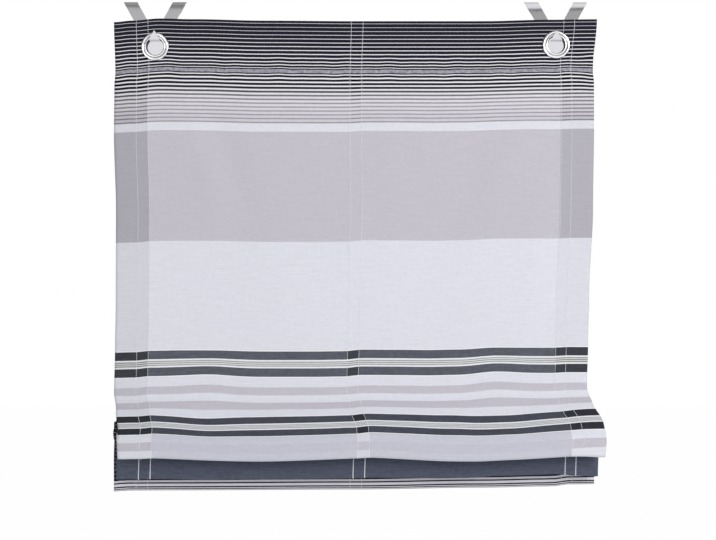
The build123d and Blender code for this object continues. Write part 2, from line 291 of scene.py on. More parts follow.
# Sag between the tapes down the run, to the left and to the right of the centre tape
SAGS = [(600, 0.0, 0.0), (640, 1.0, 0.5), (660, 2.0, 1.5), (700, 3.5, 4.5), (745, 5.0, 6.5), (765, 5.0, 6.5),
        (850, 8.5, 10.8), (940, 2.9, 3.6), (970, 1.9, 2.4), (1070, 6.7, 8.4), (1140, 0.0, 0.0)]
DEEPEST_SAG = 850.0
# Where between two tapes the sag is lowest, and how pointed it is
LOW_SHARE, SAG_POWER = 0.46, 1.3
# Soft bumps: middle x, half width, and the lift down the run. Two rise where the cloth starts to fold,
# with a dip below each; the right hem stands up at the fold, hangs lower where the fold turns, and is
# pinched at the header seam
RISE = [(548, 0.2), (594, 2.4), (612, 3.2), (626, 3.0), (640, 1.8), (656, 0.0)]
DIP = [(640, 0.0), (669, -4.8), (690, -4.4), (708, -2.8), (742, 0.0)]
CORNER = [(600, 0.0), (640, 1.2), (668, 3.6), (690, 2.6), (715, 1.2), (740, 0.0)]
PINCH = [(50, 0.0), (62, 1.6), (74, -0.4), (94, -2.8), (114, -1.2), (130, 0.0)]
FOLD_END = [(712, 0.0), (736, 2.0), (747, -0.6), (756, -2.4), (780, -2.4), (830, 0.0)]
BUMPS = [(-242, 40, RISE), (249, 40, RISE), (-254, 60, DIP), (243, 60, DIP), (400, 42, CORNER),
         (400, 15, PINCH), (400, 34, FOLD_END)]
# Puckers along the header seam: wave lengths and phases, their height, and the share down the run
PUCKERS = [(173.0, 0.4), (61.0, 2.1), (37.0, 4.0)]
PUCKER_HEIGHT = 0.26
PUCKER_SHARES = [(46, 0.0), (74, 1.0), (90, 1.0), (112, 0.0)]
# Soft creases: middle x and z, angle from the vertical in degrees, half length, half width, height
CREASES = [(-255, -265, 14, 110, 22, 3.0), (-205, -270, 16, 120, 24, -2.6), (-300, -210, 8, 60, 18, 1.6),
           (60, -240, -20, 130, 40, 2.4), (190, -330, -24, 150, 45, -2.2), (260, -250, -30, 90, 26, 2.2),
           (-120, -480, 10, 160, 60, 2.0), (140, -500, -8, 170, 55, -1.8), (300, -470, -5, 140, 26, 1.8)]
# Where the creases start and end down the run, and over what length they fade
CREASE_START, CREASE_END, CREASE_FADE = 95, 640, 60


def eased(x, table, column=1):
    """Smooth value between the listed places."""
    table = np.asarray(table, float)
    places = np.clip(np.searchsorted(table[:, 0], x, side="right") - 1, 0, len(table) - 2)
    start, end = table[places], table[places + 1]
    share = np.clip((x - start[..., 0]) / (end[..., 0] - start[..., 0]), 0, 1)
    share = share * share * (3 - 2 * share)
    return start[..., column] + (end[..., column] - start[..., column]) * share


def swag(x, v):
    """How far the cloth sags at a place between the tapes, in millimetres."""
    inner = STITCH_PAIR / 2
    left_span = (x + SIDE_TAPE_X - inner) / (SIDE_TAPE_X + CENTRE_TAPE_X - 2 * inner)
    right_span = (SIDE_TAPE_X - inner - x) / (SIDE_TAPE_X - CENTRE_TAPE_X - 2 * inner)
    total = np.zeros_like(x)
    for span, column in ((left_span, 1), (right_span, 2)):
        span = np.clip(span, 0, 1) ** (np.log(0.5) / np.log(LOW_SHARE))
        total += eased(v, SAGS, column) * np.sin(np.pi * span) ** SAG_POWER
    return total


def bump(x, v):
    """How far the soft bumps lift a place, in millimetres."""
    return sum(eased(v, lift) * np.exp(-((x - middle) / half_width) ** 2)
               for middle, half_width, lift in BUMPS)


def draped(x, rows):
    """Points of the cloth at places x across it, on the given rows of its run."""
    x, v = np.asarray(x, float), along[rows]
    y, z = run[rows, 0].copy(), run[rows, 1].copy()
    rest_z = z.copy()
    z += eased(x, TOP_LINE) * eased(v, TOP_SHARES) + eased(x, BOTTOM_LINE) * eased(v, BOTTOM_SHARES)
    z += eased(x, LIFT_LINE) * eased(v, LIFT_SHARES) + eased(x, SLATE_LINE) * eased(v, SLATE_SHARES)
    z += bump(x, v) - swag(x, v)
    for length, phase in PUCKERS:
        z += PUCKER_HEIGHT * eased(v, PUCKER_SHARES) * np.sin(2 * np.pi * x / length + phase)
    free = np.clip((v - CREASE_START) / CREASE_FADE, 0, 1) * np.clip((CREASE_END - v) / CREASE_FADE, 0, 1)
    for middle_x, middle_z, angle, length, width, height in CREASES:
        turn = np.radians(angle)
        down = (x - middle_x) * np.sin(turn) - (rest_z - middle_z) * np.cos(turn)
        across = (x - middle_x) * np.cos(turn) + (rest_z - middle_z) * np.sin(turn)
        y -= free * height * np.exp(-(down / length) ** 2 - (across / width) ** 2)
    side_v = np.abs(v)
    side_x = eased(side_v, SIDE_LINES) + x * eased(side_v, SIDE_LINES, 2) / HALF_WIDTH
    return np.stack([side_x, y, z], axis=-1)


def back_ways(x, rows):
    """Unit directions out of the back of the cloth."""
    rows = np.clip(rows, 1, len(run) - 2)
    ahead = draped(x, rows + 1) - draped(x, rows - 1)
    sideways = draped(np.asarray(x, float) + 1, rows) - draped(np.asarray(x, float) - 1, rows)
    way = np.cross(sideways, ahead)
    return way / np.linalg.norm(way, axis=-1, keepdims=True)


def on_cloth(x, rows, behind=0.0):
    """Points at a distance behind the middle of the cloth."""
    return draped(x, rows) + back_ways(x, rows) * np.asarray(behind, float)[..., None]


across = np.linspace(-HALF_WIDTH, HALF_WIDTH, int(2 * HALF_WIDTH) + 1)
deepest = swag(across, np.full(len(across), DEEPEST_SAG)).max()
print("deepest sag between tapes:", round(float(deepest), 1), "mm")

# %% [markdown]
# ## Cloth finish: dyed stripes
# The blind is a light woven polyester. Its stripes are dyed threads, so they are sharp, follow the
# weft and look the same on both faces. They are written as a list of (start along the cloth, colour).
# A colour ramp could paint them, but it holds only 256 steps, which is 5 mm on this cloth, so each
# stripe is laid over the last one from where it starts.

# %% Dyed stripes
HEADER_DARK, DARK, FOLD_DARK, SLATE = "#1A1A28", "#585A64", "#454852", "#4F5464"
WHITE, LILAC, PALE = "#D8D9E2", "#BFBCC6", "#D9DAD9"
STRIPES = [(-90, "#E9E8EC"), (172.9, WHITE), (186.5, LILAC), (370.4, WHITE), (553.2, DARK),
           (567.4, PALE), (581.3, DARK), (595.5, WHITE), (613, LILAC), (626, WHITE), (639.4, LILAC),
           (653.6, WHITE), (669, FOLD_DARK), (682.5, "#CBCDD0"), (694.7, FOLD_DARK), (707.5, WHITE),
           (722, LILAC), (736, WHITE), (800, "#E9E8EC"), (922, SLATE), (1005, "#DCDBE4")]
# A thin bright line that edges each dark stripe
EDGE_LINE, EDGE_WIDTH = "#EAEBF0", 1.5
# Pale stripes with three thin lines: start, end and the lines' colour
PALE_STRIPES = [(567.4, 581.3, "#8C8E95"), (682.5, 694.7, "#A3A5A9")]
THIN_PITCH_SHARE = 0.225
THIN_OUTER_SHARE, THIN_INNER_SHARE = 0.30, 0.16


def dyed_stripes(tree, v):
    """Colour of the broad stripes."""
    laid = []
    for (_, before), (start, colour) in zip(STRIPES, STRIPES[1:]):
        if colour in (DARK, FOLD_DARK):
            laid += [(start - EDGE_WIDTH, EDGE_LINE), (start, colour)]
        elif before in (DARK, FOLD_DARK):
            laid += [(start, EDGE_LINE), (start + EDGE_WIDTH, colour)]
        else:
            laid.append((start, colour))
    base = linear(STRIPES[0][1])
    for start, colour in laid:
        past = add(tree, "ShaderNodeMath", {0: v, 1: start * MM}, operation="GREATER_THAN").outputs[0]
        base = add(tree, "ShaderNodeMix", {0: past, 6: base, 7: linear(colour)}, data_type="RGBA").outputs[2]
    return base


def thin_lines(tree, v, base):
    """Three thin grey lines over the pale stripe of each dark pair."""
    for first, last, line_colour in PALE_STRIPES:
        middle, pitch = (first + last) / 2, (last - first) * THIN_PITCH_SHARE
        offset = add(tree, "ShaderNodeMath", {0: v, 1: middle * MM}, operation="SUBTRACT").outputs[0]
        cycle = add(tree, "ShaderNodeMath", {0: offset, 1: pitch / 2 * MM}, operation="PINGPONG").outputs[0]
        near = add(tree, "ShaderNodeMapRange", {0: cycle, 1: THIN_OUTER_SHARE * pitch * MM,
                                                2: THIN_INNER_SHARE * pitch * MM}).outputs[0]
        inside = add(tree, "ShaderNodeMath", {0: v, 1: middle * MM, 2: 1.5 * pitch * MM},
                     operation="COMPARE").outputs[0]
        amount = add(tree, "ShaderNodeMath", {0: near, 1: inside}, operation="MULTIPLY").outputs[0]
        base = add(tree, "ShaderNodeMix", {0: amount, 6: base, 7: linear(line_colour)},
                   data_type="RGBA").outputs[2]
    return base


print("cloth stripes:", len(STRIPES), "fields of colour")

# %% [markdown]
# ## Cloth finish: close lines
# The header is woven in close dark lines, which get narrower and paler downwards until they run out
# in the first white stripe. A list of them would be long, so they are worked out from their pitch: a
# value swings between the middle of a dark line and the middle of a light one, and the share of the
# pitch that is dark decides where the edge lies. The same lines come back inside the folds and in the
# tail. Where the header is sewn down, its seam gathers them into one mottled grey band.

# %% Close lines
LINE_PITCH = 6.44
LINE_START = 0.6
LINES_END = 172.9
LINE_SOFTNESS = 0.12
LINE_GROUND, GROUND_START, GROUND_END = "#C9C5CE", 90, 168
# Above the seam the lines lie lower by a shift, which is squeezed out towards the seam
SEAM_PLACE = 85.4
HEADER_SHIFT = 5.0
SEAM_SQUEEZE, SQUEEZE_START, SQUEEZE_END = 3.0, 66, 84
TAIL_SHIFT, TAIL_START = 2.0, 1050
# Share of the pitch that is dark, as a range along the cloth and the shares at its ends: above the seam,
# below it, and how much less towards the end of the lines
UPPER_SHARES = (15 * MM, 84 * MM, 0.91, 0.67)
LOWER_SHARES = (112 * MM, 124 * MM, 0.60, 0.46)
THINNER_SHARES = (124 * MM, LINES_END * MM, 0.0, 0.15)
NO_LINES_SHARE = -0.5
# Strength of the lines below the seam, as such a range
FADE_SHARES = (110 * MM, 146 * MM, 1.0, 0.46)
# The fold of the top edge, which is all dark, and stretches of lines further down the run: start, end
# and the share of the pitch that is dark
LINE_STRETCHES = [(-3, 2.5, 1.3), (800, 922, 0.97), (1005, 1167, 0.97), (1167, 1250, 0.36),
                  (1180.3, 1181.8, 1.3)]
# Half widths of the seam's dark band and of the grey one in it, and the size of its spots
SEAM_DARK_HALF, SEAM_GREY_HALF, SPOT_SIZE = 5.0, 2.9, 5
SEAM_GREYS = ("#817F8A", "#A8A6B0")
SPOT_LOW, SPOT_HIGH = 0.35, 0.65


def close_lines(tree, v, base):
    """The header's lines over the stripes, with those of the folds and the tail."""
    # Ground between the lines: near white at the seam, lilac where the lines end
    ground = add(tree, "ShaderNodeMapRange", {0: v, 1: GROUND_START * MM, 2: GROUND_END * MM}).outputs[0]
    in_lines = add(tree, "ShaderNodeMath", {0: v, 1: LINES_END * MM}, operation="LESS_THAN").outputs[0]
    ground = add(tree, "ShaderNodeMath", {0: ground, 1: in_lines}, operation="MULTIPLY").outputs[0]
    base = add(tree, "ShaderNodeMix", {0: ground, 6: base, 7: linear(LINE_GROUND)},
               data_type="RGBA").outputs[2]

    # Nought in the middle of a dark line, one in the middle of a light line
    above_seam = add(tree, "ShaderNodeMath", {0: v, 1: SEAM_PLACE * MM}, operation="LESS_THAN").outputs[0]
    shift = add(tree, "ShaderNodeMapRange", {0: v, 1: SQUEEZE_START * MM, 2: SQUEEZE_END * MM,
                                             3: HEADER_SHIFT * MM, 4: (HEADER_SHIFT - SEAM_SQUEEZE) * MM},
                interpolation_type="SMOOTHSTEP").outputs[0]
    start = add(tree, "ShaderNodeMath", {0: above_seam, 1: shift, 2: LINE_START * MM},
                operation="MULTIPLY_ADD").outputs[0]
    tail = add(tree, "ShaderNodeMath", {0: v, 1: TAIL_START * MM}, operation="GREATER_THAN").outputs[0]
    start = add(tree, "ShaderNodeMath", {0: tail, 1: TAIL_SHIFT * MM, 2: start},
                operation="MULTIPLY_ADD").outputs[0]
    from_start = add(tree, "ShaderNodeMath", {0: v, 1: start}, operation="SUBTRACT").outputs[0]
    half_pitch = LINE_PITCH * MM / 2
    cycle = add(tree, "ShaderNodeMath", {0: from_start, 1: half_pitch}, operation="PINGPONG").outputs[0]
    lightness = add(tree, "ShaderNodeMapRange", {0: cycle, 1: half_pitch, 2: 0.0}).outputs[0]

    # Share of the pitch that is dark: most at the top, half below the seam, less where the lines end
    above, below, thinner = [add(tree, "ShaderNodeMapRange", {0: v, **dict(enumerate(shares, 1))}).outputs[0]
                             for shares in (UPPER_SHARES, LOWER_SHARES, THINNER_SHARES)]
    below = add(tree, "ShaderNodeMath", {0: below, 1: thinner}, operation="SUBTRACT").outputs[0]
    dark = add(tree, "ShaderNodeMix", {0: above_seam, 2: below, 3: above}).outputs[0]
    dark = add(tree, "ShaderNodeMix", {0: in_lines, 2: NO_LINES_SHARE, 3: dark}).outputs[0]
    for first, last, share in LINE_STRETCHES:
        inside = add(tree, "ShaderNodeMath", {0: v, 1: (first + last) / 2 * MM, 2: (last - first) / 2 * MM},
                     operation="COMPARE").outputs[0]
        dark = add(tree, "ShaderNodeMix", {0: inside, 2: dark, 3: share}).outputs[0]

    # The lines themselves, paler towards their end
    edge = add(tree, "ShaderNodeMath", {0: dark, 1: lightness}, operation="SUBTRACT").outputs[0]
    line = add(tree, "ShaderNodeMapRange", {0: edge, 1: -LINE_SOFTNESS, 2: LINE_SOFTNESS},
               interpolation_type="SMOOTHSTEP").outputs[0]
    fade = add(tree, "ShaderNodeMapRange", {0: v, **dict(enumerate(FADE_SHARES, 1))},
               interpolation_type="SMOOTHSTEP").outputs[0]
    past = add(tree, "ShaderNodeMath", {0: v, 1: LINES_END * MM}, operation="GREATER_THAN").outputs[0]
    fade = add(tree, "ShaderNodeMath", {0: fade, 1: past}, operation="MAXIMUM").outputs[0]
    line = add(tree, "ShaderNodeMath", {0: line, 1: fade}, operation="MULTIPLY").outputs[0]
    return add(tree, "ShaderNodeMix", {0: line, 6: base, 7: linear(HEADER_DARK)},
               data_type="RGBA").outputs[2]


def header_seam(tree, uv, v, base):
    """The seam's mottled grey band between two dark ones."""
    spots = add(tree, "ShaderNodeTexNoise", {"Vector": uv, "Scale": 1 / (SPOT_SIZE * MM), "Detail": 3.0})
    mottle = add(tree, "ShaderNodeMapRange", {0: spots.outputs[0], 1: SPOT_LOW, 2: SPOT_HIGH}).outputs[0]
    grey = add(tree, "ShaderNodeMix", {0: mottle, 6: linear(SEAM_GREYS[0]), 7: linear(SEAM_GREYS[1])},
               data_type="RGBA").outputs[2]
    for half, colour in ((SEAM_DARK_HALF, linear(HEADER_DARK)), (SEAM_GREY_HALF, grey)):
        inside = add(tree, "ShaderNodeMath", {0: v, 1: SEAM_PLACE * MM, 2: half * MM},
                     operation="COMPARE").outputs[0]
        base = add(tree, "ShaderNodeMix", {0: inside, 6: base, 7: colour}, data_type="RGBA").outputs[2]
    return base


print("header lines: every", LINE_PITCH, "mm")

# %% [markdown]
# ## Cloth finish: plies and weave
# The cloth is thin enough that light comes through a single ply: where a hem or a tape backs it, every
# colour looks deeper, and where the front fold hangs over the slate stripe, the slate shows through.
# The left hem gets a painted shade on top, a step darker than the right one.
# Close up it is a plain weave with uneven weft threads. Matt shading with a little sheen, a fine
# horizontal noise in the colour and a low relief give that.

# %% Plies, weave and the whole finish
HEM_WIDTH = 56.0
# The stretch over the slate stripe, its colour and how much shows through a single ply
SHEER_MIDDLE, SHEER_HALF, SHEER_COLOUR, SHEER_SHARE = 731, 22.5, "#BEBECB", 0.85
TAPE_COVER_SHARE = 0.55
# The stretch of the front where a second ply shows
BACKED_MIDDLE, BACKED_HALF = 435, 345
# Brightness down to which a hem deepens a colour fully: near the folds only the dark stripes get deeper
HEM_DEPTHS = (590 * MM, 600 * MM, 0.75, 0.42)
TAPE_DEPTH = 0.45
DARKEST = 0.05
# What a second ply leaves of the darkest and of the palest colour, and on the left hem with its painted
# shade
PLY_TONES, LEFT_SHADE_TONES = (0.42, 1.0), (0.38, 0.93)
# Slub and thread are drawn coarser than the real 0.3 mm thread, so that they show
SLUB_LENGTH, SLUB_WIDTH, PATCH_SIZE, THREAD_PITCH = 40, 1.8, 7, 1.5
PATCH_SHARE, MEAN_TONE = 0.6, 0.8
SLUB_SHARES = (DARKEST, 0.5, 0.9, 0.2)
WEAVE_RELIEF = 0.15


def second_ply(tree, u, v, base):
    """Deeper colours where a hem or a tape backs the cloth, with painted shade on the left hem; returns the
    colour and its brightness before.
    """
    from_middle = add(tree, "ShaderNodeMath", {0: u}, operation="ABSOLUTE").outputs[0]
    hem = add(tree, "ShaderNodeMath", {0: from_middle, 1: (HALF_WIDTH - HEM_WIDTH) * MM},
              operation="GREATER_THAN").outputs[0]
    tape = add(tree, "ShaderNodeMath", {0: u, 1: CENTRE_TAPE_X * MM, 2: TAPE_WIDTH / 2 * MM},
               operation="COMPARE").outputs[0]

    # The slate shows through where neither a hem nor a tape covers it
    sheer = add(tree, "ShaderNodeMath", {0: v, 1: SHEER_MIDDLE * MM, 2: SHEER_HALF * MM},
                operation="COMPARE").outputs[0]
    covered = add(tree, "ShaderNodeMath", {0: tape, 1: TAPE_COVER_SHARE}, operation="MULTIPLY").outputs[0]
    covered = add(tree, "ShaderNodeMath", {0: hem, 1: covered}, operation="MAXIMUM").outputs[0]
    single = add(tree, "ShaderNodeMath", {0: 1.0, 1: covered}, operation="SUBTRACT").outputs[0]
    sheer = add(tree, "ShaderNodeMath", {0: sheer, 1: single}, operation="MULTIPLY").outputs[0]
    sheer = add(tree, "ShaderNodeMath", {0: sheer, 1: SHEER_SHARE}, operation="MULTIPLY").outputs[0]
    base = add(tree, "ShaderNodeMix", {0: sheer, 6: base, 7: linear(SHEER_COLOUR)},
               data_type="RGBA").outputs[2]

    # A second ply deepens dark colours most, and painted shade makes the left hem a step darker still
    depth = add(tree, "ShaderNodeRGBToBW", {0: base}).outputs[0]
    left = add(tree, "ShaderNodeMath", {0: u, 1: (HEM_WIDTH - HALF_WIDTH) * MM},
               operation="LESS_THAN").outputs[0]
    backed = add(tree, "ShaderNodeMath", {0: v, 1: BACKED_MIDDLE * MM, 2: BACKED_HALF * MM},
                 operation="COMPARE").outputs[0]
    hem_depth = add(tree, "ShaderNodeMapRange", {0: v, **dict(enumerate(HEM_DEPTHS, 1))}).outputs[0]
    tone = 1.0
    for where, (deepest, palest), full_depth in ((hem, PLY_TONES, hem_depth), (tape, PLY_TONES, TAPE_DEPTH),
                                                 (left, LEFT_SHADE_TONES, hem_depth)):
        here = add(tree, "ShaderNodeMath", {0: where, 1: backed}, operation="MULTIPLY").outputs[0]
        deep = add(tree, "ShaderNodeMapRange", {0: depth, 1: DARKEST, 2: full_depth, 3: deepest,
                                                4: palest}).outputs[0]
        tone = add(tree, "ShaderNodeMix", {0: here, 2: tone, 3: deep}).outputs[0]
    base = add(tree, "ShaderNodeMix", {0: 1.0, 6: base, 7: tone}, data_type="RGBA",
               blend_type="MULTIPLY").outputs[2]
    return base, depth


def uneven_threads(tree, uv, depth, base):
    """Slub: uneven weft threads and faint patches; returns the colour and the slub."""
    slub_scale = (1 / (SLUB_LENGTH * MM), 1 / (SLUB_WIDTH * MM), 0)
    stretch = add(tree, "ShaderNodeVectorMath", {0: uv, 1: slub_scale},
                  operation="MULTIPLY").outputs[0]
    slub = add(tree, "ShaderNodeTexNoise", {"Vector": stretch, "Scale": 1.0, "Detail": 3.0,
                                            "Roughness": 0.6}).outputs[0]
    strength = add(tree, "ShaderNodeMapRange", {0: depth, **dict(enumerate(SLUB_SHARES, 1))}).outputs[0]
    patch = add(tree, "ShaderNodeTexNoise", {"Vector": uv, "Scale": 1 / (PATCH_SIZE * MM),
                                             "Detail": 3.0}).outputs[0]
    uneven = add(tree, "ShaderNodeMath", {0: patch, 1: PATCH_SHARE, 2: slub},
                 operation="MULTIPLY_ADD").outputs[0]
    uneven = add(tree, "ShaderNodeMath", {0: uneven, 1: MEAN_TONE}, operation="SUBTRACT").outputs[0]
    tint = add(tree, "ShaderNodeMath", {0: uneven, 1: strength, 2: 1.0}, operation="MULTIPLY_ADD").outputs[0]
    base = add(tree, "ShaderNodeMix", {0: 1.0, 6: base, 7: tint}, data_type="RGBA",
               blend_type="MULTIPLY").outputs[2]
    return base, slub


def plain_weave(tree, u, v, slub):
    """Relief of a plain weave, one thread over one."""
    waves = []
    for way in (u, v):
        turn = add(tree, "ShaderNodeMath", {0: way, 1: 2 * np.pi / (THREAD_PITCH * MM)},
                   operation="MULTIPLY").outputs[0]
        waves.append(add(tree, "ShaderNodeMath", {0: turn}, operation="SINE").outputs[0])
    weave = add(tree, "ShaderNodeMath", {0: waves[0], 1: waves[1]}, operation="MULTIPLY").outputs[0]
    relief = add(tree, "ShaderNodeMath", {0: slub, 1: 2.0, 2: weave}, operation="MULTIPLY_ADD").outputs[0]
    return add(tree, "ShaderNodeBump", {"Strength": 0.12, "Distance": WEAVE_RELIEF * MM,
                                        "Height": relief}).outputs[0]


def make_cloth_finish():
    """Woven polyester: matt, softly sheened, with dyed stripes and a fine horizontal slub."""
    material, tree, shader = new_material("woven_polyester", Roughness=0.85, Sheen_Weight=0.05,
                                          Sheen_Roughness=0.4, Specular_IOR_Level=0.15)
    uv = add(tree, "ShaderNodeUVMap", uv_map="cloth").outputs[0]
    place = add(tree, "ShaderNodeSeparateXYZ", {0: uv})
    u, v = place.outputs[0], place.outputs[1]
    base = thin_lines(tree, v, close_lines(tree, v, dyed_stripes(tree, v)))
    base, depth = second_ply(tree, u, v, header_seam(tree, uv, v, base))
    base, slub = uneven_threads(tree, uv, depth, base)
    tree.links.new(base, shader.inputs["Base Color"])
    tree.links.new(plain_weave(tree, u, v, slub), shader.inputs["Normal"])
    return material


cloth_finish = make_cloth_finish()
print("cloth finish:", len(cloth_finish.node_tree.nodes), "nodes")

# %% [markdown]
# ## The cloth
# The mesh is one grid: across it goes from the turned-in edge of the left hem, round the side and
# over to the right hem; down it follows the run of the cloth. Both hems are therefore the same piece
# of cloth as the front, as on the real blind. The grid keeps the place on the flat cloth as a UV map
# in metres, and a thin wall makes it a closed sheet.

# %% Cloth mesh
CLOTH_WALL = 0.48
COLUMN_STEP = 8.0
FINE_COLUMN_STEP = 3.0
HOLE_RADIUS = 16.6

# The eyelets move a little from their CAD places with the cloth that they are set in
eyelet_centres = [(-334.0, -75.2), (334.5, -72.2)]
middle_half = HALF_WIDTH - HEM_WIDTH - TAPE_WIDTH
hem_columns = np.arange(HALF_WIDTH - HEM_WIDTH, HALF_WIDTH + 1, COLUMN_STEP)
edge_columns = np.arange(middle_half, HALF_WIDTH + 1, FINE_COLUMN_STEP)
middle_columns = np.linspace(-middle_half, middle_half, int(2 * middle_half / COLUMN_STEP))
hem_columns[-1] = edge_columns[-1] = HALF_WIDTH
front_columns = np.concatenate([-edge_columns[::-1], middle_columns[1:-1], edge_columns])
column_x = np.concatenate([-hem_columns, front_columns, hem_columns[::-1]])
column_behind = np.where(np.arange(len(column_x)) < len(hem_columns), PLY_STEP, 0.0)
column_behind += column_behind[::-1]
column_u = np.concatenate([-2 * HALF_WIDTH + hem_columns, front_columns, 2 * HALF_WIDTH - hem_columns[::-1]])


def grid_faces(rows, columns):
    """Quads of a grid that is listed row by row."""
    corner = (np.arange(rows - 1)[:, None] * columns + np.arange(columns - 1)).ravel()
    return np.stack([corner, corner + 1, corner + columns + 1, corner + columns], axis=1).tolist()


def write_uv(piece, name, places):
    """A UV map from one place for each point."""
    layer = piece.data.uv_layers.new(name=name)
    corners = np.empty(len(piece.data.loops), int)
    piece.data.loops.foreach_get("vertex_index", corners)
    layer.data.foreach_set("uv", np.asarray(places, np.float32)[corners].ravel())


def thicken(piece, thickness):
    """A wall centred on the sheet."""
    wall = piece.modifiers.new("wall", "SOLIDIFY")
    wall.thickness = thickness * MM
    wall.offset = 0.0
    apply_modifiers(piece)


def drop_loose(piece):
    """Removes points that no face uses."""
    made = bmesh.new()
    made.from_mesh(piece.data)
    bmesh.ops.delete(made, geom=[p for p in made.verts if not p.link_faces], context="VERTS")
    made.to_mesh(piece.data)
    made.free()


def clear_of_eyelets(points):
    """Whether each point keeps off the holes of the eyelets."""
    return np.all([np.hypot(points[:, 0] - x, points[:, 2] - z) > HOLE_RADIUS
                   for x, z in eyelet_centres], axis=0)


def sheet_faces(points, shape):
    """Quads of a grid, apart from those in the eyelets' holes."""
    clear = clear_of_eyelets(points)
    return [quad for quad in grid_faces(*shape) if clear[quad].all()]


rows = np.arange(len(run))
grid_x, grid_rows = np.meshgrid(column_x, rows)
grid_behind = np.broadcast_to(column_behind, grid_x.shape)
grid_u = np.broadcast_to(column_u, grid_x.shape)
points = on_cloth(grid_x.ravel(), grid_rows.ravel(), grid_behind.ravel())
cloth = new_piece("striped_cloth", points, sheet_faces(points, grid_x.shape), cloth_finish)
write_uv(cloth, "cloth", np.stack([grid_u.ravel(), along[grid_rows.ravel()]], axis=1) * MM)
drop_loose(cloth)
thicken(cloth, CLOTH_WALL)
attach(cloth, "root")
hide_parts("blind_cloth")
print("cloth mesh:", len(cloth.data.polygons), "faces")

# %% [markdown]
# ## Gathering tapes
# Three white woven tapes run down the back, from the header to the bottom hem, through every fold.
# They are narrow strips of the same kind as the cloth, so they are made from the same formula, laid a
# little further back. The weave of such a tape is a fine herringbone that shows as slanting ribs.

# %% Gathering tapes
TAPE_WALL = 0.45
TAPE_COLUMNS = 8
TAPE_START, TAPE_END = 6.0, 1138.0
# How far each tape lies behind the front ply; the side tapes also lie on a hem
tape_behind = {"left": 1.3, "centre": 0.7, "right": 1.3}
HERRINGBONE_HALF, RIB_PITCH, RIB_RELIEF = 2.6, 1.3, 0.2


def make_tape_finish():
    """White cotton tape, matt, woven in a narrow herringbone."""
    material, tree, shader = new_material("white_cotton_tape", Roughness=0.9, Sheen_Weight=0.1,
                                          Specular_IOR_Level=0.2)
    uv = add(tree, "ShaderNodeUVMap", uv_map="cloth")
    place = add(tree, "ShaderNodeSeparateXYZ", {0: uv.outputs[0]})
    # Ribs lean one way on each half of the herringbone
    fold = add(tree, "ShaderNodeMath", {0: place.outputs[0], 1: HERRINGBONE_HALF * MM},
               operation="PINGPONG").outputs[0]
    slant = add(tree, "ShaderNodeMath", {0: fold, 1: place.outputs[1]}, operation="ADD").outputs[0]
    slant = add(tree, "ShaderNodeMath", {0: slant, 1: 2 * np.pi / (RIB_PITCH * MM)},
                operation="MULTIPLY").outputs[0]
    rib = add(tree, "ShaderNodeMath", {0: slant}, operation="SINE").outputs[0]
    tone = add(tree, "ShaderNodeMapRange", {0: rib, 1: -1.0, 2: 1.0}).outputs[0]
    colour = add(tree, "ShaderNodeMix", {0: tone, 6: linear("#D6D7DC"), 7: linear("#ECEDF0")},
                 data_type="RGBA").outputs[2]
    tree.links.new(colour, shader.inputs["Base Color"])
    bump = add(tree, "ShaderNodeBump", {"Strength": 0.3, "Distance": RIB_RELIEF * MM, "Height": rib})
    tree.links.new(bump.outputs[0], shader.inputs["Normal"])
    return material


def make_tape(side, finish):
    """One tape on the back of the cloth."""
    tape_rows = np.flatnonzero((along >= TAPE_START) & (along <= TAPE_END))
    tape_x = TAPES[side] + np.linspace(-TAPE_WIDTH / 2, TAPE_WIDTH / 2, TAPE_COLUMNS)
    x, row = np.meshgrid(tape_x, tape_rows)
    points = on_cloth(x.ravel(), row.ravel(), np.full(x.size, tape_behind[side]))
    tape = new_piece(f"{side}_tape", points, sheet_faces(points, x.shape), finish)
    write_uv(tape, "cloth", np.stack([x.ravel() - TAPES[side], along[row.ravel()]], axis=1) * MM)
    drop_loose(tape)
    thicken(tape, TAPE_WALL)
    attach(tape, "root")
    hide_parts(f"{side}_gathering_tape")
    return tape


tape_finish = make_tape_finish()
tapes = [make_tape(side, tape_finish) for side in TAPES]
print("tapes:", ", ".join(tape.name for tape in tapes))

# %% [markdown]
# ## Stitches
# White thread holds the tapes and hems with pairs of lockstitch lines, which are the fine white lines
# on the dark stripes. A stitch is a short length of thread that dips into the cloth at both ends, so a
# stretched round bead stands for one. Geometry Nodes follow each sewn line and set a stitch at every
# pitch, which keeps the spacing even round the folds.

# %% Stitches
# Offsets of the two sewn lines from the middle of each tape
PAIRS = {"left": (-9.65, 9.65), "centre": (-9.65, 9.65), "right": (-8.0, 9.65)}
STITCH_PITCH, STITCH_LENGTH = 3.2, 3.3
THREAD_WIDTH, TWIST_PITCH, THREAD_LIFT = 0.9, 1.2, 0.05
BEAD_FACES = 20
# Stretches of the run that are sewn: the front, the slate fold with its thread doubled, and two seams across
SEWN_START, SEWN_END = 1, 1183
BACK_INSET = 3
SLATE_START, SLATE_END, SLATE_SHIFT = 915, 1000, 0.45
SEAMS_ACROSS = (92, 1147)
SEAM_STEP = 4.0

thread_finish, tree, shader = new_material("white_polyester_thread", Roughness=0.55, Sheen_Weight=0.2,
                                           Specular_IOR_Level=0.4)
place = add(tree, "ShaderNodeTexCoord")
twist = add(tree, "ShaderNodeTexWave", {"Vector": place.outputs["Object"], "Scale": 1 / (TWIST_PITCH * MM),
                                        "Distortion": 1.0}, bands_direction="DIAGONAL")
colour = add(tree, "ShaderNodeMix", {0: twist.outputs["Fac"], 6: linear("#DADBE2"), 7: linear("#F0F0F4")},
             data_type="RGBA")
tree.links.new(colour.outputs[2], shader.inputs["Base Color"])


